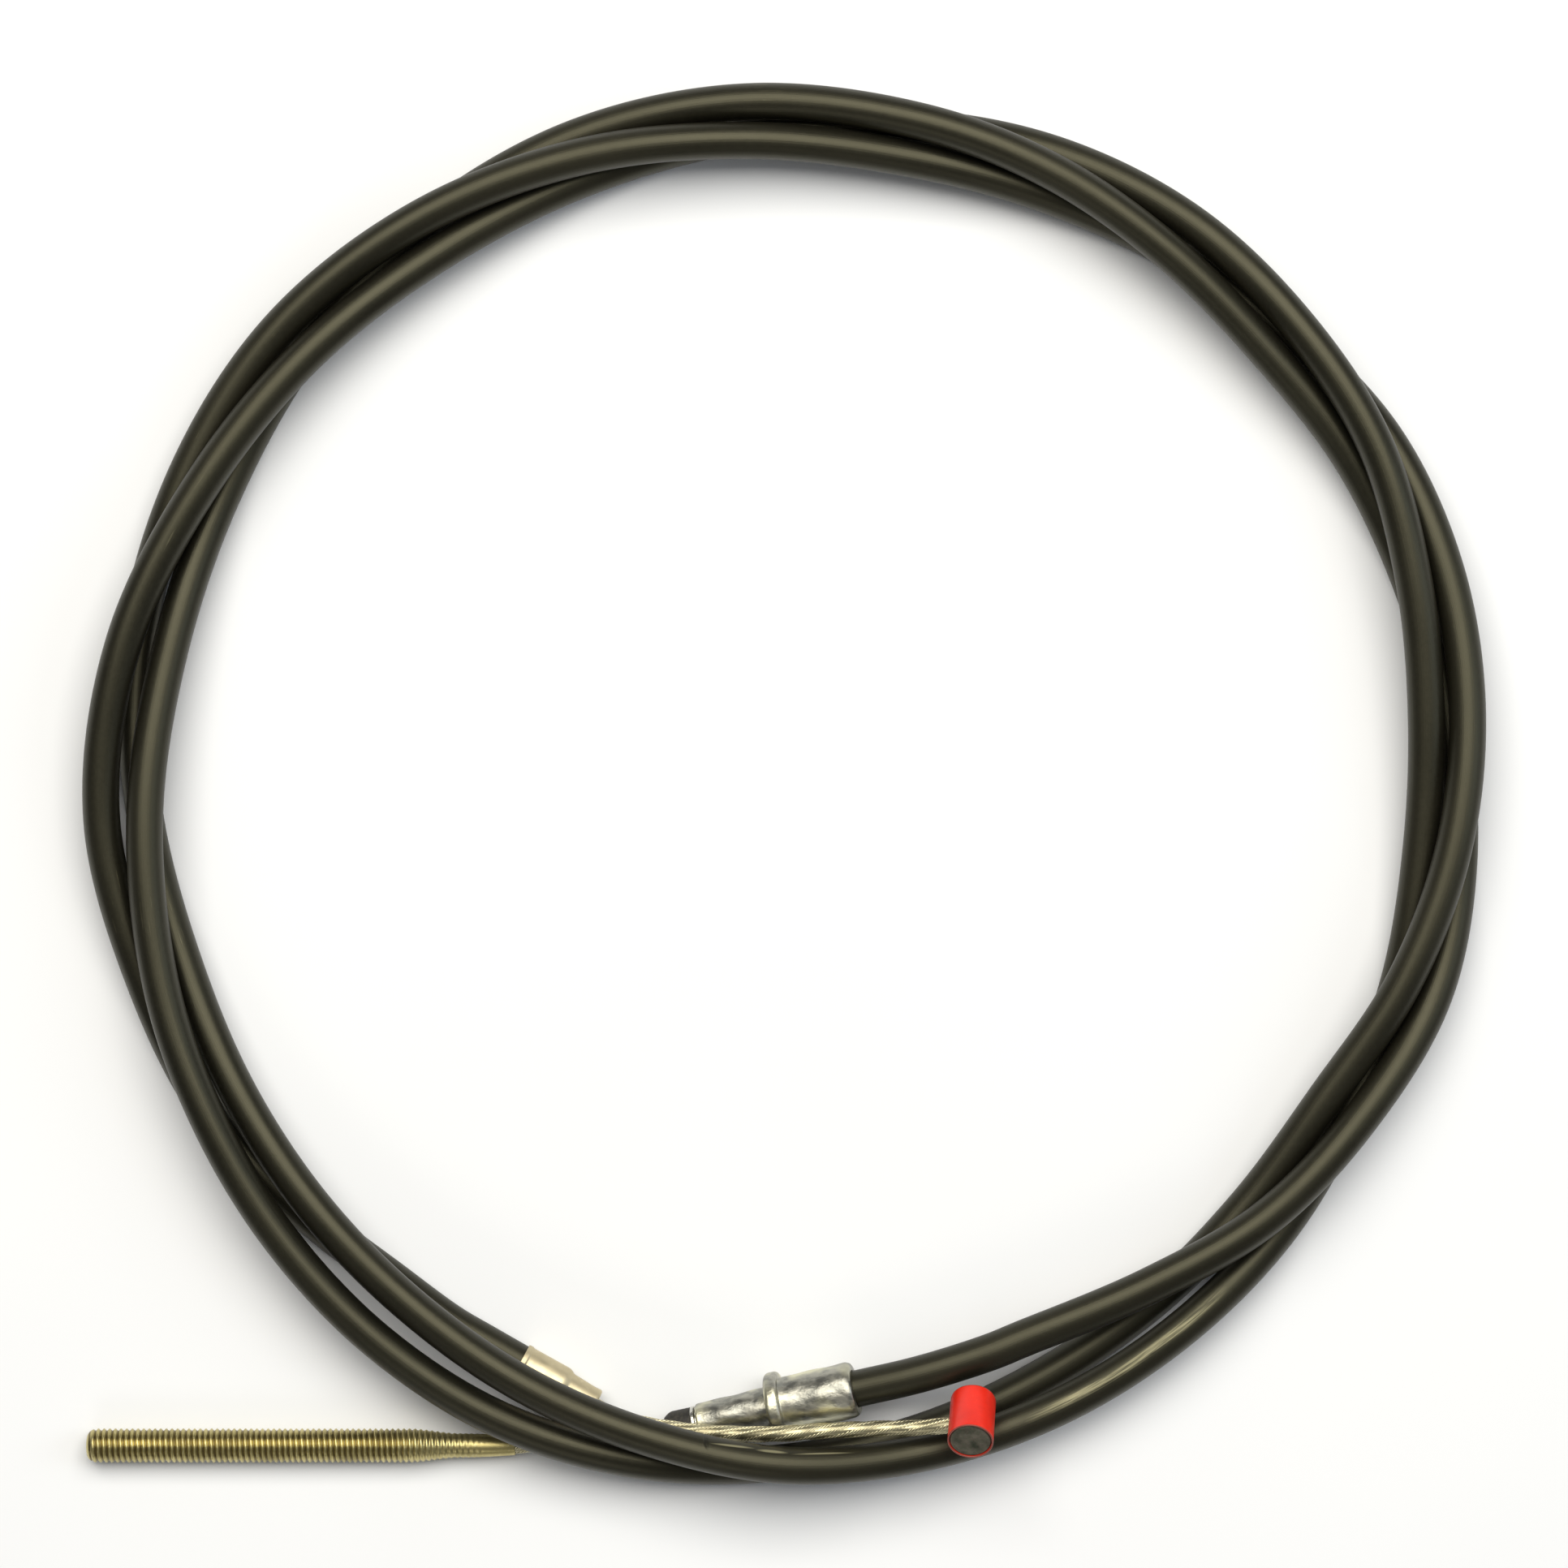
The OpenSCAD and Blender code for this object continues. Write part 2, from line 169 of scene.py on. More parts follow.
SHEATH_MIDDLE = (LEVER_RUN + passed(FIRST_PASS) + twisted(0) + passed(SECOND_PASS) + twisted(1)
                 + passed(THIRD_PASS) + twisted(2) + passed(LAST_PASS) + ROD_RUN)
SHEATH_ROUTE = ([tuple(CAP_MOUTH + CAP_SOCKET * CAP_DIR), tuple(CAP_MOUTH)] + SHEATH_MIDDLE
                + [tuple(STOP_BACK), tuple(STOP_BACK - STOP_SOCKET * STOP_DIR)])
LEVER_ROUTE = ([tuple(LEVER_RUN[0] + WIRE_GAP * CAP_DIR), tuple(CAP_MOUTH),
                tuple(CAP_MOUTH + CAP_LEN * CAP_DIR)]
               + LEVER_WIRE + [tuple(NIPPLE_AT)])
ROD_ROUTE = ([tuple(ROD_RUN[1] - WIRE_GAP * STOP_DIR), tuple(STOP_BACK),
              tuple((STOP_BACK + STOP_FRONT) / 2), tuple(STOP_FRONT)]
             + ROD_WIRE + [(ROD_WIRE[-1][0] - ROD_SOCKET, ROD_WIRE[-1][1], ROD_WIRE[-1][2])])
sheath_path = smooth(SHEATH_ROUTE, SHEATH_STEP)
lever_path = smooth(LEVER_ROUTE, WIRE_STEP)
rod_path = smooth(ROD_ROUTE, WIRE_STEP)


# ---------------------------------------------------------------- mesh helpers
CORNER_STEPS = 3
LATHE_STEP = 0.8
WELD = 0.002


def frames(path):
    """Side and up at every point, without twist along the path."""
    heading = np.gradient(path, axis=0)
    heading = heading / np.linalg.norm(heading, axis=1)[:, None]
    up = np.array((0, 0, 1), float)
    ups = []
    for d in heading:
        up = up - d * np.dot(up, d)
        up /= np.linalg.norm(up)
        ups.append(up)
    ups = np.array(ups)
    return np.cross(ups, heading), ups


def mesh_piece(name, points, faces, uvs=None):
    """A smooth object from points in millimetres; uvs holds one pair per point."""
    mesh = bpy.data.meshes.new(name)
    mesh.from_pydata((np.asarray(points) * MM).tolist(), [], faces)
    if uvs is not None:
        layer = mesh.uv_layers.new(name="UVMap")
        index = np.empty(len(mesh.loops), int)
        mesh.loops.foreach_get("vertex_index", index)
        layer.data.foreach_set("uv", np.asarray(uvs, np.float32)[index].ravel())
    mesh.validate()
    obj = bpy.data.objects.new(name, mesh)
    bpy.context.scene.collection.objects.link(obj)
    for poly in mesh.polygons:
        poly.use_smooth = True
    return obj


def attribute(obj, name, values):
    """One number per point, which a material can read."""
    data = obj.data.attributes.new(name, "FLOAT", "POINT").data
    data.foreach_set("value", np.asarray(values, np.float32).ravel())


def face_outwards(obj, weld=0.0):
    """Turns the faces outwards, after welding points closer than a length in millimetres."""
    bm = bmesh.new()
    bm.from_mesh(obj.data)
    if weld:
        bmesh.ops.remove_doubles(bm, verts=bm.verts, dist=weld * MM)
    bmesh.ops.recalc_face_normals(bm, faces=bm.faces)
    bm.to_mesh(obj.data)
    bm.free()
    return obj


def grid_faces(rings, sides, first=0, inside=False):
    """Faces between rings of points, from the point numbered first, turned inwards if inside."""
    faces = []
    for i in range(rings - 1):
        for k in range(sides):
            a, b = first + i * sides + k, first + i * sides + (k + 1) % sides
            quad = (a, b, b + sides, a + sides)
            faces.append(quad[::-1] if inside else quad)
    return faces


def ring_points(path, radii, sides, turn=None):
    """Rings round a path. radii is a number, one per ring, or one row per ring."""
    side, up = frames(path)
    if np.ndim(radii) < 2:
        radii = np.asarray(radii, float).reshape(-1, 1)
    radii = np.broadcast_to(radii, (len(path), sides))
    a = np.arange(sides) / sides * TAU
    a = a[None, :] + (0 if turn is None else np.asarray(turn)[:, None])
    out = np.cos(a)[..., None] * side[:, None, :] + np.sin(a)[..., None] * up[:, None, :]
    return (path[:, None, :] + radii[..., None] * out).reshape(-1, 3)


def tube(name, path, r, bore, sides):
    """A hollow tube along a path, with flat ends."""
    n = len(path)
    points = np.vstack([ring_points(path, r, sides), ring_points(path, bore, sides)])
    inner = n * sides
    faces = grid_faces(n, sides) + grid_faces(n, sides, inner, True)
    for k in range(sides):
        j = (k + 1) % sides
        faces.append((j, k, inner + k, inner + j))
        a, b = (n - 1) * sides + k, (n - 1) * sides + j
        faces.append((a, b, inner + b, inner + a))
    along = np.repeat(run_along(path) * MM, sides)
    around = np.tile(np.abs(np.arange(sides) / sides * 2 - 1), n)
    uv = np.stack([along, around], axis=1)
    return mesh_piece(name, points, faces, np.vstack([uv, uv]))


def rod_along(path, r, sides, turn=None):
    """Points and faces of a solid rod along a path."""
    n = len(path)
    points = ring_points(path, r, sides, turn)
    faces = grid_faces(n, sides)
    faces.append(tuple(range(sides))[::-1])
    faces.append(tuple((n - 1) * sides + k for k in range(sides)))
    return points, faces


def joined(name, parts):
    """One object from several lists of points and faces."""
    points, faces, base = [], [], 0
    for p, f in parts:
        points.append(p)
        faces += [tuple(base + i for i in face) for face in f]
        base += len(p)
    return mesh_piece(name, np.vstack(points), faces)


def frame_at(at, direction):
    """A matrix that puts local +Z along direction, in millimetres."""
    z = Vector(direction).normalized()
    return Matrix.Translation(Vector(at)) @ z.to_track_quat("Z", "Y").to_matrix().to_4x4()


def rounded(profile, radius):
    """A profile of (r, z) corners, rounded. A corner's third number is its own radius."""
    out = []
    p = [np.array(q[:2], float) for q in profile]
    for i, q in enumerate(p):
        a, b = p[i - 1], p[(i + 1) % len(p)]
        la, lb = np.linalg.norm(a - q), np.linalg.norm(b - q)
        cut = min(radius if len(profile[i]) < 3 else profile[i][2], la * 0.45, lb * 0.45)
        s, e = q + (a - q) * cut / la, q + (b - q) * cut / lb
        for t in np.linspace(0, 1, CORNER_STEPS + 1):
            out.append((1 - t) ** 2 * s + 2 * t * (1 - t) * q + t * t * e)
    return out


def lathe(name, profile, matrix, sides, radius, wobble=None):
    """A turned ring from a closed profile of (r, z) corners."""
    outline = rounded(profile, radius)
    fine = []
    for i, q in enumerate(outline):
        nxt = outline[(i + 1) % len(outline)]
        cuts = max(1, int(np.linalg.norm(nxt - q) / LATHE_STEP))
        fine += [q + (nxt - q) * c / cuts for c in range(cuts)]
    points, n = [], len(fine)
    for k in range(sides):
        a = k / sides * TAU
        for r, z in fine:
            rr = r + (wobble(a, z, r) if wobble else 0)
            points.append(matrix @ Vector((rr * math.cos(a), rr * math.sin(a), z)))
    faces = []
    for k in range(sides):
        j = (k + 1) % sides
        for i in range(n):
            m = (i + 1) % n
            faces.append((k * n + i, j * n + i, j * n + m, k * n + m))
    return face_outwards(mesh_piece(name, points, faces), WELD)


def plug(name, profile, matrix, sides=64):
    """A closed turned solid from an open profile of (r, z) that starts and ends on the axis."""
    rings, n = [], len(profile)
    for r, z in profile[1:-1]:
        rings.append([matrix @ Vector((r * math.cos(k / sides * TAU), r * math.sin(k / sides * TAU), z))
                      for k in range(sides)])
    points = [p for ring in rings for p in ring]
    first, last = len(points), len(points) + 1
    points += [matrix @ Vector((0, 0, profile[0][1])), matrix @ Vector((0, 0, profile[-1][1]))]
    faces = grid_faces(n - 2, sides)
    for k in range(sides):
        j = (k + 1) % sides
        faces.append((j, k, first))
        faces.append(((n - 3) * sides + k, (n - 3) * sides + j, last))
    return mesh_piece(name, points, faces)


# ---------------------------------------------------------------- materials
class Paint:
    """A procedural material: a Principled shader and short calls for the nodes before it."""

    def __init__(self, name, color, rough, metal=0.0, **sockets):
        self.mat = bpy.data.materials.new(name)
        self.mat.use_nodes = True
        self.tree = self.mat.node_tree
        self.shader = self.tree.nodes["Principled BSDF"]
        self.set("Base Color", (*color, 1))
        self.set("Roughness", rough)
        self.set("Metallic", metal)
        for key, value in sockets.items():
            self.set(key.replace("_", " "), value)

    def set(self, socket, value):
        if isinstance(value, bpy.types.NodeSocket):
            self.tree.links.new(value, self.shader.inputs[socket])
        else:
            self.shader.inputs[socket].default_value = value
        return self

    def node(self, kind, out=0, **inputs):
        """A node's output. An input is named, or is i and its number; _name sets a property."""
        node = self.tree.nodes.new("ShaderNode" + kind)
        for key, value in inputs.items():
            if key.startswith("_"):
                setattr(node, key[1:], value)
                continue
            socket = node.inputs[int(key[1:])] if key[0] == "i" and key[1:].isdigit() \
                else node.inputs[key.replace("_", " ")]
            if isinstance(value, bpy.types.NodeSocket):
                self.tree.links.new(value, socket)
            else:
                socket.default_value = value
        return node.outputs[out]

    def coords(self, kind="Object", scale=(1, 1, 1)):
        tex = self.tree.nodes.new("ShaderNodeTexCoord")
        return self.node("Mapping", Vector=tex.outputs[kind], Scale=scale)

    def noise(self, where, scale, detail=4.0, rough=0.55):
        return self.node("TexNoise", Vector=where, Scale=scale, Detail=detail, Roughness=rough)

    def ramp(self, value, low, high, a=0.0, b=1.0):
        """a below low, b above high, and a straight line between."""
        node = self.tree.nodes.new("ShaderNodeMapRange")
        node.clamp = True
        self.tree.links.new(value, node.inputs["Value"])
        for key, number in (("From Min", low), ("From Max", high), ("To Min", a), ("To Max", b)):
            node.inputs[key].default_value = number
        return node.outputs[0]

    def mix(self, factor, a, b):
        node = self.tree.nodes.new("ShaderNodeMix")
        node.data_type = "RGBA"
        for socket, value in ((node.inputs[0], factor), (node.inputs[6], a), (node.inputs[7], b)):
            if isinstance(value, bpy.types.NodeSocket):
                self.tree.links.new(value, socket)
            else:
                socket.default_value = (*value, 1) if isinstance(value, tuple) else value
        return node.outputs[2]

    def math(self, op, a, b):
        return self.node("Math", _operation=op, i0=a, i1=b)

    def attribute(self, name):
        node = self.tree.nodes.new("ShaderNodeAttribute")
        node.attribute_name = name
        return node.outputs["Fac"]

    def mark(self, at, along, across, heading, deep=0.004):
        """1 inside a long thin mark, in metres and degrees, falling to 0 at its edge."""
        tex = self.tree.nodes.new("ShaderNodeTexCoord")
        local = self.node("Mapping", _vector_type="TEXTURE", Vector=tex.outputs["Object"], Location=at,
                          Rotation=(0, 0, math.radians(heading)), Scale=(along, across, deep))
        gap = self.node("VectorMath", out=1, _operation="LENGTH", i0=local)
        return self.ramp(gap, 0.5, 1.0, 1.0, 0.0)

    def bump(self, height, strength, distance):
        self.set("Normal", self.node("Bump", Height=height, Strength=strength, Distance=distance))
        return self


# Each mark's place, half its length and width, and its heading
NICK = ((-0.0136, -0.1144, 0.0165), 0.00045, 0.0017, 12)
# The second mark is where a painted highlight streak lies along the outer strand.
RIDGE_HIGHLIGHT = ((0.0602, -0.1006, 0.0112), 0.022, 0.0042, 34)
SCRATCHES = [((-0.009, -0.1152, 0.0165), 0.0042, 0.0002, -7),
             ((-0.0021, -0.1162, 0.0165), 0.003, 0.00026, -6),
             ((0.0066, -0.1167, 0.0155), 0.006, 0.00015, 0)]


def paint_sheath():
    p = Paint("black_sheath", (0.006, 0.0055, 0.004), 0.4, Specular_IOR_Level=0.5,
              Specular_Tint=(1.0, 0.96, 0.68, 1))
    grain = p.noise(p.coords(), 1400, 3)
    patches = p.noise(p.coords(), 26, 3)
    die_lines = p.noise(p.coords("UV", (5, 60, 1)), 1.0, 3)
    streaks = p.noise(p.coords("UV", (110, 30, 1)), 1.0, 4)
    worn = p.noise(p.coords(), 40, 2)
    ridge = p.attribute("ridge")
    # Painted highlight: a thin bright streak on the side of the jacket that faces the main light, in one
    # stretch of the outer strand.
    painted_ridge_highlight = p.math("MULTIPLY", p.mark(*RIDGE_HIGHLIGHT, deep=0.02), p.ramp(ridge, 0.95, 0.99))
    scuffs_and_highlight = p.math("MULTIPLY", p.ramp(streaks, 0.38, 0.6), painted_ridge_highlight)
    few = p.math("MULTIPLY", p.ramp(streaks, 0.64, 0.72), p.ramp(worn, 0.6, 0.72))
    scuffs_and_highlight = p.math("MAXIMUM", scuffs_and_highlight, p.math("MULTIPLY", few, 0.5))
    for scratch in SCRATCHES:
        scuffs_and_highlight = p.math("MAXIMUM", scuffs_and_highlight, p.math("MULTIPLY", p.mark(*scratch), 0.6))
    base = p.mix(p.ramp(patches, 0.35, 0.7), (0.004, 0.0037, 0.0026), (0.009, 0.0083, 0.0055))
    base = p.mix(p.ramp(grain, 0.3, 0.8, 0.0, 0.4), base, (0.014, 0.013, 0.009))
    # Light scuffs and scratches, and the painted highlight streak, share one light colour.
    base = p.mix(scuffs_and_highlight, base, (0.3, 0.28, 0.17))
    nick = p.mark(*NICK)
    p.set("Base Color", p.mix(nick, base, (0.002, 0.002, 0.002)))
    dull = p.math("ADD", p.math("MULTIPLY", grain, 0.4), patches)
    p.set("Roughness", p.ramp(dull, 0.3, 1.1, 0.33, 0.48))
    height = p.math("ADD", p.math("MULTIPLY", die_lines, 0.6), p.math("MULTIPLY", grain, 0.3))
    height = p.math("ADD", height, p.math("MULTIPLY", scuffs_and_highlight, -0.5))
    p.bump(p.math("ADD", height, p.math("MULTIPLY", nick, -2.0)), 0.35, 0.00012)
    return p.mat


def paint_zinc():
    p = Paint("zinc_casting", (0.4, 0.4, 0.36), 0.3, 1.0)
    blotch = p.noise(p.coords(scale=(1, 1.6, 1.6)), 300, 3, 0.6)
    large = p.noise(p.coords(), 150, 2)
    fine = p.noise(p.coords(), 2600, 3)
    base = p.mix(p.ramp(blotch, 0.42, 0.6), (0.27, 0.27, 0.24), (0.46, 0.45, 0.39))
    base = p.mix(p.ramp(large, 0.48, 0.62), base, (0.72, 0.70, 0.52))
    p.set("Base Color", base)
    p.set("Roughness", p.ramp(blotch, 0.3, 0.7, 0.3, 0.46))
    height = p.math("ADD", blotch, p.math("MULTIPLY", fine, 0.12))
    p.bump(height, 0.4, 0.0004)
    return p.mat


def paint_tin():
    p = Paint("bright_tin", (0.64, 0.57, 0.38), 0.5, 1.0)
    drawn = p.noise(p.coords(), 600, 3)
    stain = p.noise(p.coords(), 160, 3)
    base = p.mix(p.ramp(stain, 0.4, 0.7), (0.66, 0.58, 0.39), (0.54, 0.47, 0.31))
    p.set("Base Color", p.mix(p.ramp(drawn, 0.6, 0.8, 0.0, 0.5), base, (0.8, 0.74, 0.55)))
    p.set("Roughness", p.ramp(drawn, 0.3, 0.7, 0.44, 0.58))
    p.bump(drawn, 0.3, 0.0001)
    return p.mat


def paint_wire():
    p = Paint("galvanised_wire", (0.62, 0.58, 0.4), 0.36, 1.0)
    valley = p.attribute("valley")
    patches = p.noise(p.coords(), 420, 3)
    base = p.mix(p.ramp(patches, 0.35, 0.7), (0.74, 0.69, 0.46), (0.6, 0.55, 0.36))
    # Painted shade: darker down in the valleys between the wires, where shade falls.
    p.set("Base Color", p.mix(p.ramp(valley, 0.15, 0.85), base, (0.12, 0.1, 0.055)))
    p.set("Roughness", p.ramp(patches, 0.3, 0.7, 0.3, 0.44))
    return p.mat


def paint_rod():
    p = Paint("yellow_zinc", (0.4, 0.3, 0.12), 0.32, 1.0)
    root = p.attribute("valley")
    stain = p.noise(p.coords(), 150, 4)
    fine = p.noise(p.coords(), 1900, 3)
    base = p.mix(p.ramp(stain, 0.35, 0.7), (0.6, 0.52, 0.24), (0.42, 0.36, 0.16))
    base = p.mix(p.ramp(fine, 0.55, 0.8, 0.0, 0.6), base, (0.76, 0.7, 0.42))
    # Painted shade: darker in the roots of the thread, where shade falls.
    p.set("Base Color", p.mix(p.ramp(root, 0.35, 1.0), base, (0.13, 0.1, 0.045)))
    p.set("Roughness", p.ramp(stain, 0.3, 0.7, 0.28, 0.44))
    p.bump(fine, 0.3, 0.00008)
    return p.mat


def paint_red():
    p = Paint("red_sleeve", (0.84, 0.024, 0.008), 0.32, Specular_IOR_Level=0.5)
    mottle = p.noise(p.coords(), 260, 3)
    grain = p.noise(p.coords(), 2400, 3)
    base = p.mix(p.ramp(mottle, 0.35, 0.7), (0.84, 0.024, 0.008), (0.7, 0.018, 0.006))
    base = p.mix(p.ramp(grain, 0.62, 0.8, 0.0, 0.5), base, (0.92, 0.1, 0.04))
    where = p.tree.nodes.new("ShaderNodeTexCoord").outputs["Object"]
    local = p.node("Mapping", _vector_type="TEXTURE", Vector=where, Location=tuple(NIPPLE_AT * MM),
                   Rotation=tuple(nipple_frame.to_euler()))
    along = p.math("ABSOLUTE", p.node("SeparateXYZ", out=2, Vector=local), 0.0)
    end = NIPPLE_LEN / 2 * MM
    # Darker brown within the last quarter millimetre at each end of the sleeve.
    darker_ends = p.ramp(along, end - 0.00025, end - 0.0001, 0.0, 0.85)
    p.set("Base Color", p.mix(darker_ends, base, (0.16, 0.055, 0.04)))
    p.set("Roughness", p.ramp(grain, 0.3, 0.8, 0.28, 0.46))
    p.bump(p.math("ADD", mottle, p.math("MULTIPLY", grain, 0.3)), 0.3, 0.0001)
    return p.mat


def paint_nipple():
    p = Paint("nipple_metal", (0.2, 0.2, 0.17), 0.4, 1.0)
    marks = p.noise(p.coords(), 420, 4)
    blotch = p.noise(p.coords(), 1100, 3)
    base = p.mix(p.ramp(marks, 0.35, 0.65), (0.07, 0.07, 0.052), (0.2, 0.18, 0.14))
    p.set("Base Color", p.mix(p.ramp(blotch, 0.45, 0.7, 0.0, 0.6), base, (0.1, 0.12, 0.08)))
    p.set("Roughness", p.ramp(marks, 0.3, 0.7, 0.32, 0.55))
    p.bump(p.math("ADD", marks, blotch), 0.5, 0.00012)
    return p.mat


def paint_rubber():
    p = Paint("black_rubber", (0.02, 0.019, 0.016), 0.6, Specular_IOR_Level=0.4)
    grain = p.noise(p.coords(), 1800, 3)
    p.set("Base Color", p.mix(p.ramp(grain, 0.4, 0.75), (0.014, 0.013, 0.011), (0.05, 0.045, 0.035)))
    p.set("Roughness", p.ramp(grain, 0.3, 0.7, 0.5, 0.72))
    p.bump(grain, 0.4, 0.0001)
    return p.mat


def paint_plain(name, a, b, rough, metal):
    """Two tones in specks, for the hidden layers and the bush."""
    p = Paint(name, a, rough, metal)
    speck = p.noise(p.coords(), 500, 3)
    p.set("Base Color", p.mix(p.ramp(speck, 0.35, 0.7), a, b))
    p.set("Roughness", p.ramp(speck, 0.3, 0.7, rough * 0.8, rough * 1.2))
    return p.mat


def coat(obj, mat):
    obj.data.materials.clear()
    obj.data.materials.append(mat)
    return obj


# ---------------------------------------------------------------- sheath and its inner layers
SHEATH_SIDES, CONDUIT_SIDES, LINER_SIDES = 28, 16, 12
JACKET_R, JACKET_BORE = 3.25, 2.55
CONDUIT_R, CONDUIT_RIB, CONDUIT_BORE = 2.42, 0.08, 1.97
LINER_R, LINER_BORE = 1.9, 1.65
INNER_WIRE_R = 1.45
HIGHLIGHT_FACING = (0.0, 0.26, 0.966)  # the direction that the jacket's painted highlight faces, tilted a little towards the main light
jacket = coat(tube("sheath_jacket", sheath_path, JACKET_R, JACKET_BORE, SHEATH_SIDES), paint_sheath())
jacket_normals = np.empty(len(jacket.data.vertices) * 3)
jacket.data.vertices.foreach_get("normal", jacket_normals)
# How squarely each point faces the direction of the painted highlight.
attribute(jacket, "ridge", jacket_normals.reshape(-1, 3) @ np.array(HIGHLIGHT_FACING))
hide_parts("outer_jacket")

conduit_ribs = CONDUIT_R + CONDUIT_RIB * np.where(np.arange(len(sheath_path)) % 2, 1, -1)
conduit = coat(tube("wound_conduit", sheath_path, conduit_ribs, CONDUIT_BORE, CONDUIT_SIDES),
               paint_plain("spring_steel", (0.4, 0.4, 0.39), (0.2, 0.2, 0.19), 0.4, 1.0))
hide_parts("steel_conduit")

lining = coat(tube("smooth_lining", sheath_path, LINER_R, LINER_BORE, LINER_SIDES),
              paint_plain("white_lining", (0.85, 0.85, 0.8), (0.75, 0.75, 0.7), 0.3, 0.0))
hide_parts("liner")

middle_path = smooth(SHEATH_MIDDLE, SHEATH_STEP)
middle = coat(mesh_piece("wire_in_sheath", *rod_along(middle_path, INNER_WIRE_R, LINER_SIDES)),
              paint_plain("inner_wire_steel", (0.7, 0.68, 0.6), (0.5, 0.48, 0.4), 0.35, 1.0))
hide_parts("inner_wire")


# ---------------------------------------------------------------- free wire ropes
# Six strands lie round a core, and six wires round each strand. A lay is the length of one turn
STRAND_AT, WIRE_R, WIRE_LAY, STRAND_LAY = 0.98, 0.16, 4.0, 32.0
CORE_R, CORE_SIDES = 1.3, 16
STRAND_START = 0.7  # how much further each strand's wires have turned than the last one's
LOBE_STEPS = 4
STRAND_SIDES = 6 * LOBE_STEPS


def lobed(sides):
    """Radius round a strand of six wires, and how deep in the valley between two wires it is."""
    phi = (np.arange(sides) / sides * 360 + 30) % 60 - 30
    phi = np.radians(phi)
    r = 2 * WIRE_R * np.cos(phi) + np.sqrt(np.maximum(WIRE_R ** 2 - (2 * WIRE_R * np.sin(phi)) ** 2, 0))
    return r, 1 - (r - r.min()) / (r.max() - r.min())


def rope(name, path):
    side, up = frames(path)
    run = run_along(path)
    radii, depth = lobed(STRAND_SIDES)
    parts, valleys = [], []
    for k in range(6):
        a = k * TAU / 6 - run / STRAND_LAY * TAU
        centre = path + STRAND_AT * (np.cos(a)[:, None] * side + np.sin(a)[:, None] * up)
        twist = -run / WIRE_LAY * TAU + k * STRAND_START
        parts.append(rod_along(centre, np.tile(radii, (len(path), 1)), STRAND_SIDES, twist))
        valleys.append(np.tile(depth, len(path)))
    parts.append(rod_along(path[::3], CORE_R, CORE_SIDES))
    # The core, mostly hidden, takes half of the painted valley shade.
    valleys.append(np.full(len(parts[-1][0]), 0.5))
    obj = joined(name, parts)
    attribute(obj, "valley", np.concatenate(valleys))
    return obj


wire_paint = paint_wire()
lever_rope = coat(rope("lever_wire", lever_path), wire_paint)
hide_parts("lever_wire_core", *[f"lever_strand_{k}" for k in range(1, 7)])
rod_rope = coat(rope("rod_wire", rod_path), wire_paint)
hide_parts("rod_wire_core", *[f"rod_strand_{k}" for k in range(1, 7)])


# ---------------------------------------------------------------- lever end cap
CAP_BORE, CAP_R, CAP_NOSE_R, CAP_NOSE_LEN = 1.8, 3.6, 3.0, 6.3
SOCKET_R = 3.3
CRIMP_DEPTH, CRIMP_PITCH = 0.04, 0.95
cap_front = CAP_LEN + CAP_NOSE_LEN
cap_profile = [(CAP_BORE, CAP_SOCKET + 0.1), (SOCKET_R, CAP_SOCKET + 0.1), (SOCKET_R, 0.0, 0.05),
               (CAP_R - 0.03, 0.0, 0.12), (CAP_R, 0.85, 0.12), (CAP_R - 0.15, 1.1, 0.1),
               (CAP_R - 0.1, 4.0, 0.2), (CAP_R - 0.02, CAP_LEN - 0.5, 0.5),
               (CAP_NOSE_R + 0.05, CAP_LEN + 0.45, 0.3), (CAP_NOSE_R, cap_front, 0.7),
               (CAP_BORE, cap_front, 0.3)]


def crimped(a, z, r):
    """Shallow ribs round the cap's nose, on its outside only."""
    if r < 2.4 or not CAP_LEN + 0.8 < z < cap_front - 0.8:
        return 0.0
    return -CRIMP_DEPTH + CRIMP_DEPTH * math.sin(z / CRIMP_PITCH * TAU)


cap = coat(lathe("end_cap", cap_profile, frame_at(CAP_MOUTH, CAP_DIR), 64, 0.12, crimped), paint_tin())
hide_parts("lever_end_cap")
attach(cap, "sheath")


# ---------------------------------------------------------------- rod end stop, bush and seal
# Lengths along the stop run from its nose's tip, and the seal's are below zero
STOP_LEN, STOP_NOSE, COLLAR_END = 28.7, 13.2, 15.6
STOP_BORE, NOSE_TIP_R, NOSE_R, COLLAR_R, COLLAR_EDGE = 2.15, 3.3, 3.7, 6.05, 0.35
socket_end = STOP_LEN - STOP_SOCKET - 0.05
stop_profile = [(STOP_BORE, socket_end), (STOP_BORE, 0.0, 0.1), (NOSE_TIP_R, 0.0, 0.75),
                (NOSE_R, STOP_NOSE, 0.3), (COLLAR_R - COLLAR_EDGE, STOP_NOSE, 0.3),
                (COLLAR_R, STOP_NOSE + 0.5, 0.4), (COLLAR_R, COLLAR_END - 0.5, 0.4),
                (COLLAR_R - COLLAR_EDGE, COLLAR_END, 0.3), (4.8, COLLAR_END, 0.3),
                (5.0, STOP_LEN - 0.9, 0.5), (4.55, STOP_LEN, 0.35), (SOCKET_R, STOP_LEN, 0.2),
                (SOCKET_R, socket_end, 0.1)]


def cast_wobble(a, z, r):
    """Slight unevenness of a die casting, on its outside only."""
    if r < 3.25:
        return 0.0
    return 0.05 * math.sin(3 * a + 0.7 * z) + 0.04 * math.sin(5 * a - 1.1 * z + 1) - 0.05


stop = coat(lathe("cast_stop", stop_profile, frame_at(STOP_FRONT, STOP_DIR), 96, 0.2, cast_wobble),
            paint_zinc())
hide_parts("rod_end_stop")
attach(stop, "sheath")

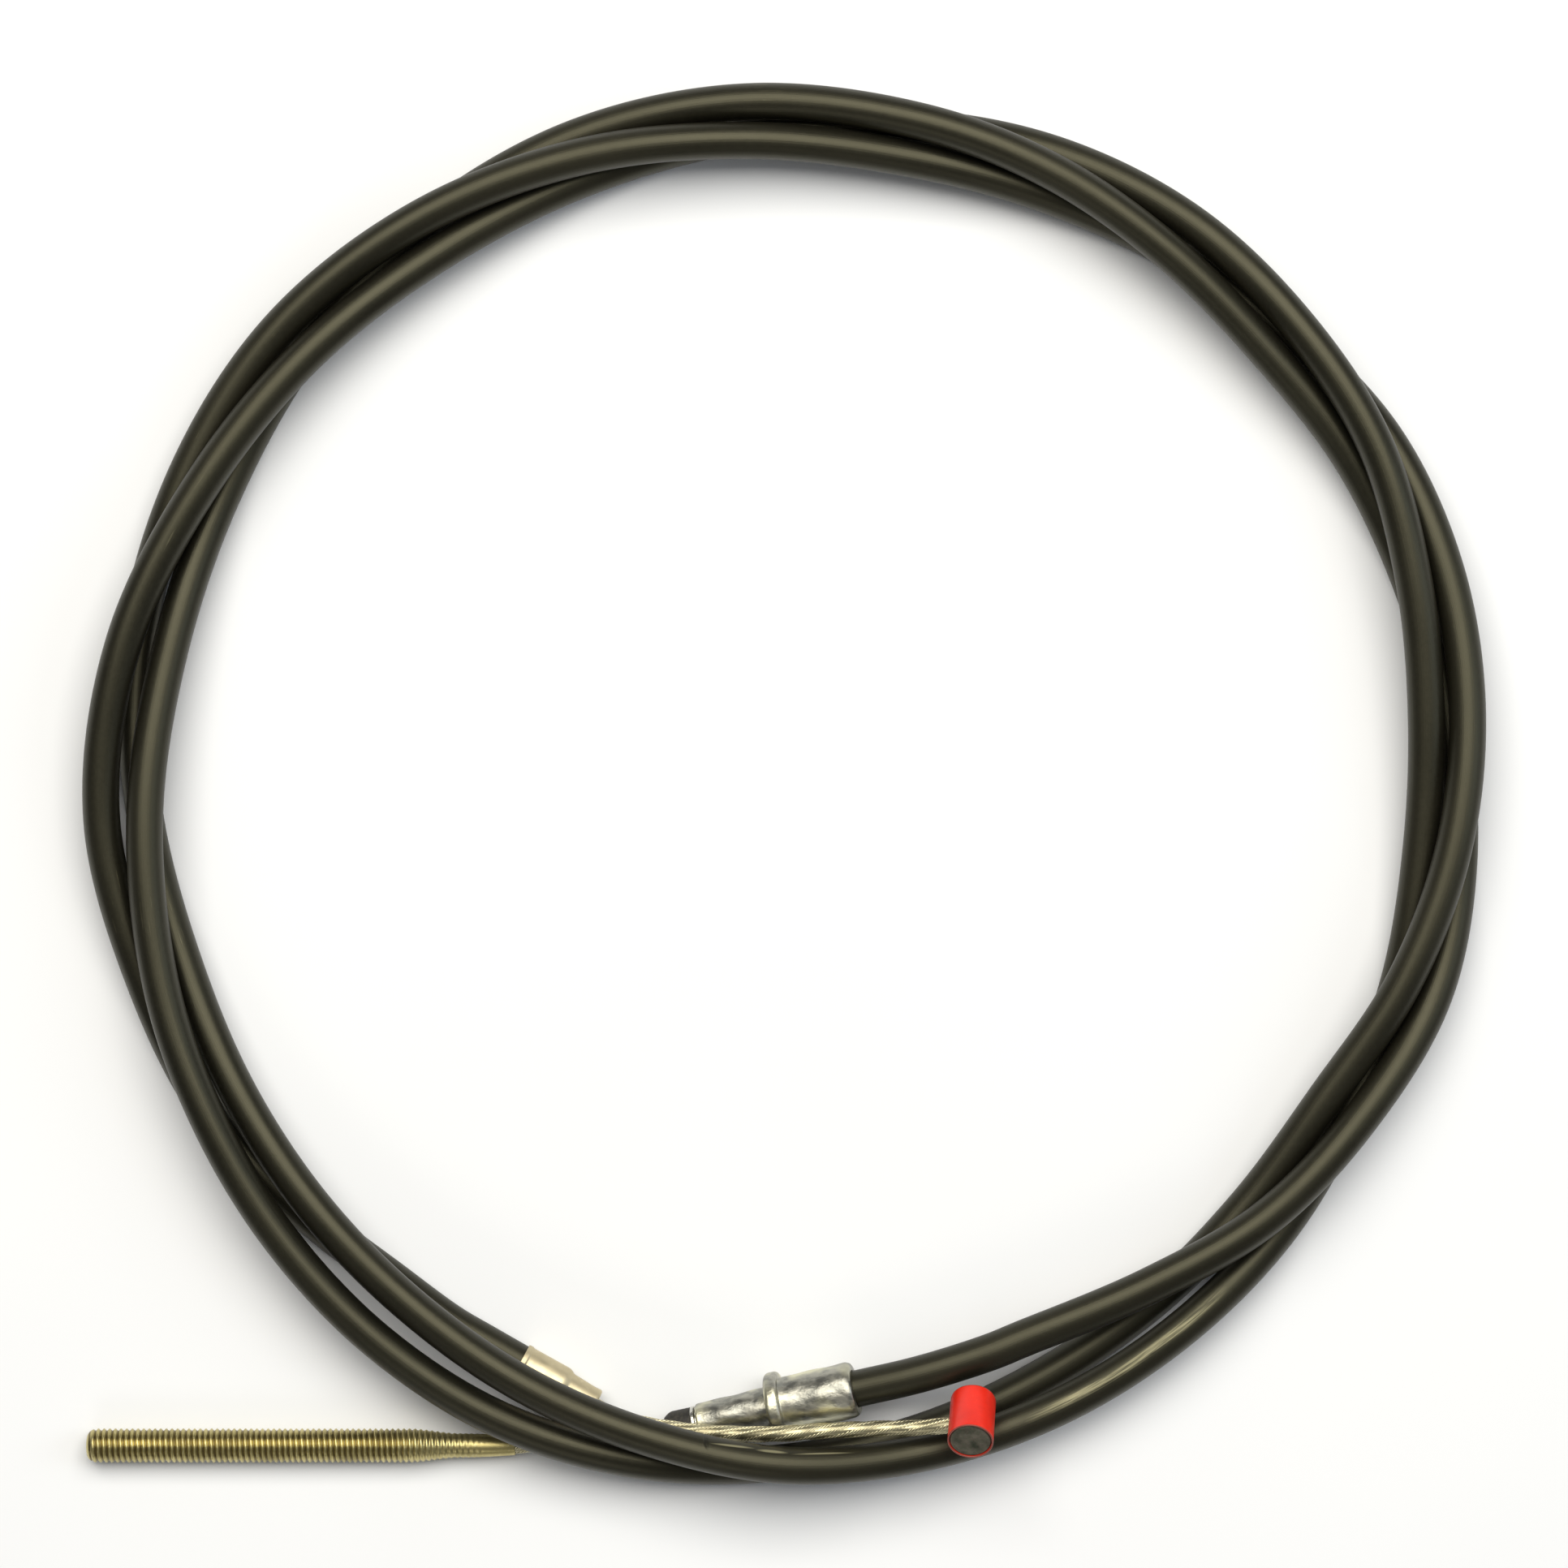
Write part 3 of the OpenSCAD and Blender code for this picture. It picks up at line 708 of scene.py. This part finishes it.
BUSH_BORE, BUSH_R, BUSH_END = 1.8, 2.1, 12.0
FLANGE_R, FLANGE_FRONT, FLANGE_BACK = 3.0, -0.9, -0.3
bush_profile = [(BUSH_BORE, FLANGE_FRONT), (FLANGE_R, FLANGE_FRONT, 0.12), (FLANGE_R, FLANGE_BACK, 0.12),
                (BUSH_R, FLANGE_BACK, 0.05), (BUSH_R, BUSH_END, 0.1), (BUSH_BORE, BUSH_END)]
bush = coat(lathe("nose_bush", bush_profile, frame_at(STOP_FRONT, STOP_DIR), 48, 0.05),
            paint_plain("bush_steel", (0.75, 0.74, 0.68), (0.5, 0.5, 0.46), 0.25, 1.0))
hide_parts("guide_bush")
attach(bush, "sheath")

SEAL_BORE, SEAL_TIP_R, SEAL_R = 1.8, 2.1, 2.9
SEAL_TIP, SEAL_SHOULDER, SEAL_BACK = -5.9, -4.7, -0.92
seal_profile = [(SEAL_BORE, SEAL_TIP), (SEAL_TIP_R, SEAL_TIP, 0.3), (SEAL_R, SEAL_SHOULDER, 0.5),
                (SEAL_R, SEAL_BACK, 0.25), (SEAL_BORE, SEAL_BACK)]
seal = coat(lathe("rubber_seal", seal_profile, frame_at(STOP_FRONT, STOP_DIR), 48, 0.1), paint_rubber())
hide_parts("nose_seal")
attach(seal, "sheath")


# ---------------------------------------------------------------- barrel nipple
NIPPLE_R, NIPPLE_LEN, SLEEVE_WALL = 4.0, 10.0, 0.3
NIPPLE_YAW, NIPPLE_LEAN, NIPPLE_SPIN = -7.6, 38, 24
CORE_GAP, CORE_RECESS = 0.05, 0.16
SLEEVE_HOLE_R, CORE_HOLE_R, HOLE_FROM, HOLE_TO = 1.7, 1.6, -7, 1.7
nipple_frame = (Matrix.Translation(Vector(NIPPLE_AT))
                @ Matrix.Rotation(math.radians(NIPPLE_YAW), 4, "Z")
                @ Matrix.Rotation(math.radians(NIPPLE_LEAN), 4, "X")
                @ Matrix.Rotation(math.radians(NIPPLE_SPIN), 4, "Z"))
half = NIPPLE_LEN / 2
sleeve_in = NIPPLE_R - SLEEVE_WALL
core_r = sleeve_in - CORE_GAP
sleeve_profile = [(sleeve_in, -half), (NIPPLE_R - 0.03, -half, 0.2), (NIPPLE_R, half, 0.3),
                  (sleeve_in, half)]
sleeve = lathe("red_sleeve", sleeve_profile, nipple_frame, 72, 0.12)

# The core's end face has faint rings from its turning, and both ends are alike
core_end = [(0.0, -half + CORE_RECESS)]
core_end += [(r, -half + CORE_RECESS - 0.03 * math.cos(r * 3.2))
             for r in np.linspace(0.4, core_r - 0.5, 8)]
core_end += [(core_r - 0.2, -half + 0.14), (core_r - 0.05, -half + 0.3), (core_r, -half + 0.6)]
core_side = [(core_r, z) for z in np.linspace(-half + 1.2, half - 1.2, 8)]
core_profile = core_end + core_side + [(r, -z) for r, z in core_end[::-1]]
core = plug("nipple_barrel", core_profile, nipple_frame)


def drill(obj, r):
    """Cuts the wire's hole out of the near half of the nipple."""
    hole = plug("drill", [(0, HOLE_FROM), (r, HOLE_FROM), (r, HOLE_TO), (0, HOLE_TO)],
                nipple_frame @ Matrix.Rotation(math.radians(90), 4, "Y"), 40)
    cut = obj.modifiers.new("hole", "BOOLEAN")
    cut.operation, cut.solver, cut.object = "DIFFERENCE", "EXACT", hole
    bpy.context.view_layer.update()
    done = bpy.data.meshes.new_from_object(obj.evaluated_get(bpy.context.evaluated_depsgraph_get()))
    obj.modifiers.clear()
    obj.data = done
    bpy.data.objects.remove(hole)
    return obj


coat(drill(sleeve, SLEEVE_HOLE_R), paint_red())
coat(drill(core, CORE_HOLE_R), paint_nipple())
for obj, node, slot_name in ((sleeve, "nipple_sleeve", "red_sleeve"),
                             (core, "nipple_core", "nipple_metal")):
    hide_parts(node)
    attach(obj, "lever_end")


# ---------------------------------------------------------------- threaded rod
PITCH, MAJOR_R, MINOR_R = 1.0, 3.0, 2.6
ROD_LEN, THREAD_END, TAPER_END, SWAGE_R, ROD_BORE, BORE_DEPTH = 75.7, 57.0, 66.0, 2.15, 1.55, 12
STEPS_PER_PITCH, ROD_SIDES = 10, 40
TIP_ROUND, TIP_DROP = 1.9, 1.6
MOUTH_WALL = 0.15
FADE_START, FADE_LEN, PLAIN_END = 3, 17, 3.5


def rod_outline(z):
    """Radius of the rod without its thread, and the thread's depth, at a length from the tip."""
    if z < TIP_ROUND:
        body = MAJOR_R - TIP_DROP * (1 - math.sqrt(max(0.0, 1 - (1 - z / TIP_ROUND) ** 2)))
    elif z < THREAD_END:
        body = MAJOR_R
    elif z < TAPER_END:
        t = (z - THREAD_END) / (TAPER_END - THREAD_END)
        body = MAJOR_R + (SWAGE_R - MAJOR_R) * t * t * (3 - 2 * t)
    else:
        t = (z - TAPER_END) / (ROD_LEN - TAPER_END)
        body = SWAGE_R + (ROD_BORE + MOUTH_WALL - SWAGE_R) * t ** 1.6
    deep = MAJOR_R - MINOR_R
    if z > THREAD_END - FADE_START:
        deep *= max(0.0, 1 - (z - THREAD_END + FADE_START) / FADE_LEN)
    if z > ROD_LEN - PLAIN_END:
        deep = 0.0
    return body, deep


def thread_wave(phase):
    """Depth from crest, 0, to root, 1, of a 60 degree thread with a flat crest and round root."""
    d = abs(phase % 1.0 - 0.5) * 2
    return 1 - min(1.0, max(0.0, (d - 0.06) / 0.76)) ** 1.1


def threaded():
    """The rod with its thread, and the bore in its swaged end that holds the wire."""
    zs = list(np.arange(0, ROD_LEN, PITCH / STEPS_PER_PITCH)) + [ROD_LEN]
    x0, y0, z0 = ROD_TIP
    points, valley = [], []
    for z in zs:
        body, deep = rod_outline(z)
        for k in range(ROD_SIDES):
            a = k / ROD_SIDES * TAU
            wave = thread_wave(z / PITCH - k / ROD_SIDES)
            cut = deep * wave
            r = min(body, MAJOR_R - cut) if z < TIP_ROUND else body - cut
            points.append((x0 + z, y0 + r * math.cos(a), z0 + r * math.sin(a)))
            valley.append(wave * deep / (MAJOR_R - MINOR_R))
    n = len(zs)
    faces = grid_faces(n, ROD_SIDES)
    tip = len(points)
    points += [(x0, y0, z0)]
    faces += [((k + 1) % ROD_SIDES, k, tip) for k in range(ROD_SIDES)]
    bore = len(points)
    for x in (ROD_LEN, ROD_LEN - BORE_DEPTH):
        points += [(x0 + x, y0 + ROD_BORE * math.cos(k / ROD_SIDES * TAU),
                    z0 + ROD_BORE * math.sin(k / ROD_SIDES * TAU)) for k in range(ROD_SIDES)]
    points += [(x0 + ROD_LEN - BORE_DEPTH, y0, z0)]
    end = (n - 1) * ROD_SIDES
    for k in range(ROD_SIDES):
        j = (k + 1) % ROD_SIDES
        faces.append((end + k, end + j, bore + j, bore + k))
        faces.append((bore + k, bore + j, bore + ROD_SIDES + j, bore + ROD_SIDES + k))
        faces.append((bore + ROD_SIDES + k, bore + ROD_SIDES + j, len(points) - 1))
    obj = mesh_piece("threaded_stud", points, faces)
    attribute(obj, "valley", valley + [0.0] * (len(points) - len(valley)))
    return face_outwards(obj)


stud = coat(threaded(), paint_rod())
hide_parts("threaded_rod")
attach(stud, "rod_end")


# ---------------------------------------------------------------- what moves with what
for obj in (jacket, conduit, lining, middle):
    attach(obj, "sheath")
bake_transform(lever_rope)
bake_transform(rod_rope)


# ---------------------------------------------------------------- floor and light
def floor():
    size = 3.0
    mesh = bpy.data.meshes.new("floor")
    mesh.from_pydata([(-size, -size, 0), (size, -size, 0), (size, size, 0), (-size, size, 0)], [],
                     [(0, 1, 2, 3)])
    obj = bpy.data.objects.new("floor", mesh)
    bpy.context.scene.collection.objects.link(obj)
    p = Paint("pale_floor", (0.86, 0.86, 0.85), 0.9, Specular_IOR_Level=0.1)
    p.set("Base Color", p.mix(p.ramp(p.noise(p.coords(), 9, 2), 0.3, 0.7), (0.86, 0.88, 0.92),
                              (0.84, 0.86, 0.9)))
    return coat(obj, p.mat)


def softbox(name, at, size, power, color):
    data = bpy.data.lights.new(name, "AREA")
    data.shape, data.size, data.size_y = "RECTANGLE", size[0], size[1]
    data.energy, data.color = power, color
    obj = bpy.data.objects.new(name, data)
    obj.location = at
    obj.rotation_euler = (-Vector(at)).to_track_quat("-Z", "Y").to_euler()
    bpy.context.scene.collection.objects.link(obj)


floor()
softbox("main", (0.0, 0.62, 1.36), (1.8, 1.1), 32, (1.0, 0.96, 0.87))
softbox("right", (1.25, 0.15, 0.85), (0.6, 0.9), 3.6, (0.82, 0.91, 1.0))
softbox("front", (-0.4, -1.3, 0.9), (0.8, 0.4), 2.0, (1.0, 0.97, 0.9))
world = bpy.data.worlds.new("world")
world.use_nodes = True
world.node_tree.nodes["Background"].inputs["Color"].default_value = (1, 1, 1, 1)
world.node_tree.nodes["Background"].inputs["Strength"].default_value = 0.14
bpy.context.scene.world = world
bpy.context.scene.view_settings.view_transform = "Standard"
